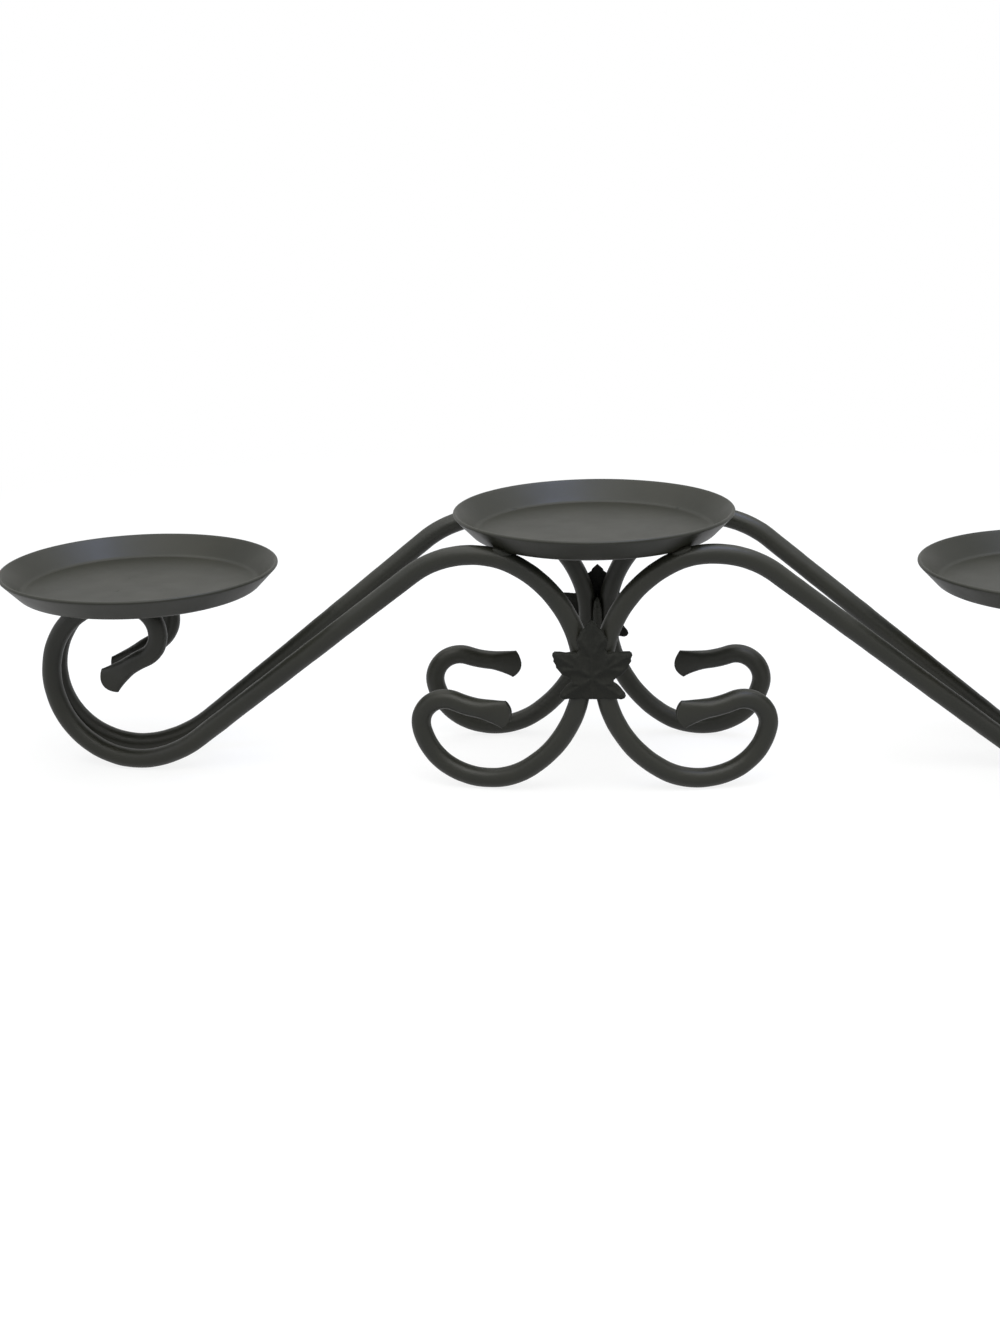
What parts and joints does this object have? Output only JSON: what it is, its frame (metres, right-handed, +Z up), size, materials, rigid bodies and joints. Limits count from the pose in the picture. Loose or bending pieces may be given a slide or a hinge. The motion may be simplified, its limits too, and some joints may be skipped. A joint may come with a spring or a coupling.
{
  "type": "pillar candle centrepiece",
  "caption": "Low wrought iron centrepiece on scrolled bar legs that carries flared round plates for pillar candles.",
  "frame": {"origin": "on the ground, under the centre of the middle plate", "axes": "+X along the row of plates to the right, -Y towards the front, +Z up"},
  "size_m": [0.6526, 0.152, 0.1431],
  "materials": {
    "bars": "satin black powder coat over hammered bar",
    "plates": "satin black powder coat on pressed sheet",
    "leaves": "satin black powder coat on cast leaf",
    "welds": "satin black powder coat over weld bead"
  },
  "bodies": {
    "root": {"front_left_scroll": "bars", "front_right_scroll": "bars", "rear_left_scroll": "bars", "rear_right_scroll": "bars", "middle_plate": "plates", "left_plate": "plates", "right_plate": "plates", "front_leaf": "leaves", "rear_leaf": "leaves", "front_waist_weld": "welds", "rear_waist_weld": "welds", "front_leaf_weld": "welds", "rear_leaf_weld": "welds", "middle_plate_welds": "welds", "left_plate_welds": "welds", "right_plate_welds": "welds"}
  },
  "joints": []
}
